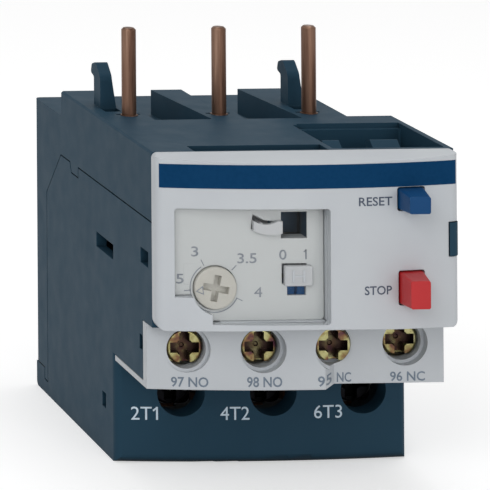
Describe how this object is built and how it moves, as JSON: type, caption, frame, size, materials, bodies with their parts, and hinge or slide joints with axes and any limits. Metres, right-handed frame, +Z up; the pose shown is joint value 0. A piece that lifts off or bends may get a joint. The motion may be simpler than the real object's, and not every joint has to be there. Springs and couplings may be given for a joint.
{
  "type": "thermal overload relay",
  "caption": "Thermal overload relay with round plug-in pins, hooks, screw terminals, a setting dial behind a clear flap, test and trip controls, and reset and stop buttons.",
  "frame": {"origin": "middle of the bounding box's footprint, on the underside", "axes": "front, with the dial and the buttons, faces -Y; +Z is up, towards the pins; +X is to the right seen from the front"},
  "size_m": [0.045, 0.0678, 0.0651],
  "materials": {
    "dark_housing": "fine matt moulding, dark slate grey-blue",
    "white_moulding": "satin moulding, cool grey-white",
    "beige_dial": "satin moulding, warm white",
    "clear_flap": "clear transparent moulding",
    "blue_button": "satin blue moulding",
    "red_button": "satin red moulding",
    "copper": "bare copper, slightly tarnished",
    "yellow_passivated": "yellow passivated zinc on steel",
    "brass_strip": "rolled brass",
    "silver_tip": "silver alloy contact",
    "steel": "plain drawn steel",
    "bimetal": "rolled bimetal",
    "heater_ribbon": "resistance alloy ribbon",
    "slider_moulding": "natural heat-resistant moulding"
  },
  "bodies": {
    "housing": {"rear_housing": "dark_housing", "front_housing": "dark_housing", "front_cover": "white_moulding", "contact_block": "white_moulding", "power_terminal_screws": "yellow_passivated", "power_clamps": "yellow_passivated", "aux_terminal_screws": "yellow_passivated", "aux_clamp_washers": "yellow_passivated", "fixed_contact_tips": "silver_tip", "rocker_pivot_pin": "steel", "lever_pivot_pin": "steel", "reset_spring": "steel", "stop_spring": "steel", "input_pin_1": "copper", "bimetal_strip_1": "bimetal", "heater_winding_1": "heater_ribbon", "output_terminal_1": "copper", "input_pin_2": "copper", "bimetal_strip_2": "bimetal", "heater_winding_2": "heater_ribbon", "output_terminal_2": "copper", "input_pin_3": "copper", "bimetal_strip_3": "bimetal", "heater_winding_3": "heater_ribbon", "output_terminal_3": "copper", "contact_strip_97": "brass_strip", "contact_strip_98": "brass_strip", "contact_strip_95": "brass_strip", "contact_strip_96": "brass_strip"},
    "flap": {"window_flap": "clear_flap"},
    "rocker": {"contact_rocker": "slider_moulding", "no_moving_contact": "brass_strip", "nc_moving_contact": "brass_strip", "moving_contact_tips": "silver_tip"},
    "trip_comb": {"trip_slider": "slider_moulding"},
    "differential_comb": {"differential_slider": "slider_moulding"},
    "dial": {"setting_dial": "beige_dial"},
    "lever": {"adjusting_lever": "steel", "compensating_bimetal": "bimetal"},
    "test": {"test_lever": "white_moulding"},
    "trip_flag": {"trip_indicator": "white_moulding"},
    "selector": {"reset_mode_selector": "blue_button"},
    "reset": {"reset_button": "blue_button"},
    "stop": {"stop_button": "red_button"}
  },
  "joints": [
    {"name": "reset_press", "type": "slide", "parent": "housing", "child": "reset", "axis": [0, 1, 0], "range_m": [0, 0.0025], "stiffness_N_per_m": 400, "springref_m": -0.001, "deforming": ["reset_spring"]},
    {"name": "stop_press", "type": "slide", "parent": "housing", "child": "stop", "axis": [0, 1, 0], "range_m": [0, 0.0025], "stiffness_N_per_m": 400, "springref_m": -0.001, "deforming": ["stop_spring"]},
    {"name": "dial_turn", "type": "hinge", "parent": "housing", "child": "dial", "pos_m": [-0.0137, -0.028, 0.0318], "axis": [0, 1, 0], "range_deg": [0, 210]},
    {"name": "lever_follow", "type": "hinge", "parent": "housing", "child": "lever", "pos_m": [-0.0091, -0.0215, 0.038], "axis": [0, 1, 0], "range_deg": [-16, 0]},
    {"name": "trip_slide", "type": "slide", "parent": "housing", "child": "trip_comb", "axis": [-1, 0, 0], "range_m": [0, 0.0012]},
    {"name": "differential_slide", "type": "slide", "parent": "housing", "child": "differential_comb", "axis": [-1, 0, 0], "range_m": [0, 0.0012]},
    {"name": "rocker_turn", "type": "hinge", "parent": "housing", "child": "rocker", "pos_m": [0.001, -0.0087, 0.032], "axis": [0, 0, 1], "range_deg": [0, 4.8]},
    {"name": "trip_flag_slide", "type": "slide", "parent": "housing", "child": "trip_flag", "axis": [-1, 0, 0], "range_m": [0, 0.0012]},
    {"name": "test_push", "type": "slide", "parent": "housing", "child": "test", "axis": [1, 0, 0], "range_m": [0, 0.0015], "stiffness_N_per_m": 150, "springref_m": -0.0005},
    {"name": "selector_slide", "type": "slide", "parent": "housing", "child": "selector", "axis": [-1, 0, 0], "range_m": [0, 0.0012]},
    {"name": "flap_open", "type": "hinge", "parent": "housing", "child": "flap", "pos_m": [0.00194, -0.03018, 0.0353], "axis": [0, 0, 1], "range_deg": [0, 92]}
  ],
  "couplings": [
    {"joint": "lever_follow", "follows": "dial_turn", "ratio": -0.0761},
    {"joint": "differential_slide", "follows": "trip_slide", "ratio": 1},
    {"joint": "rocker_turn", "follows": "trip_slide", "rad_per_m": 69.778},
    {"joint": "trip_flag_slide", "follows": "trip_slide", "ratio": 1}
  ]
}
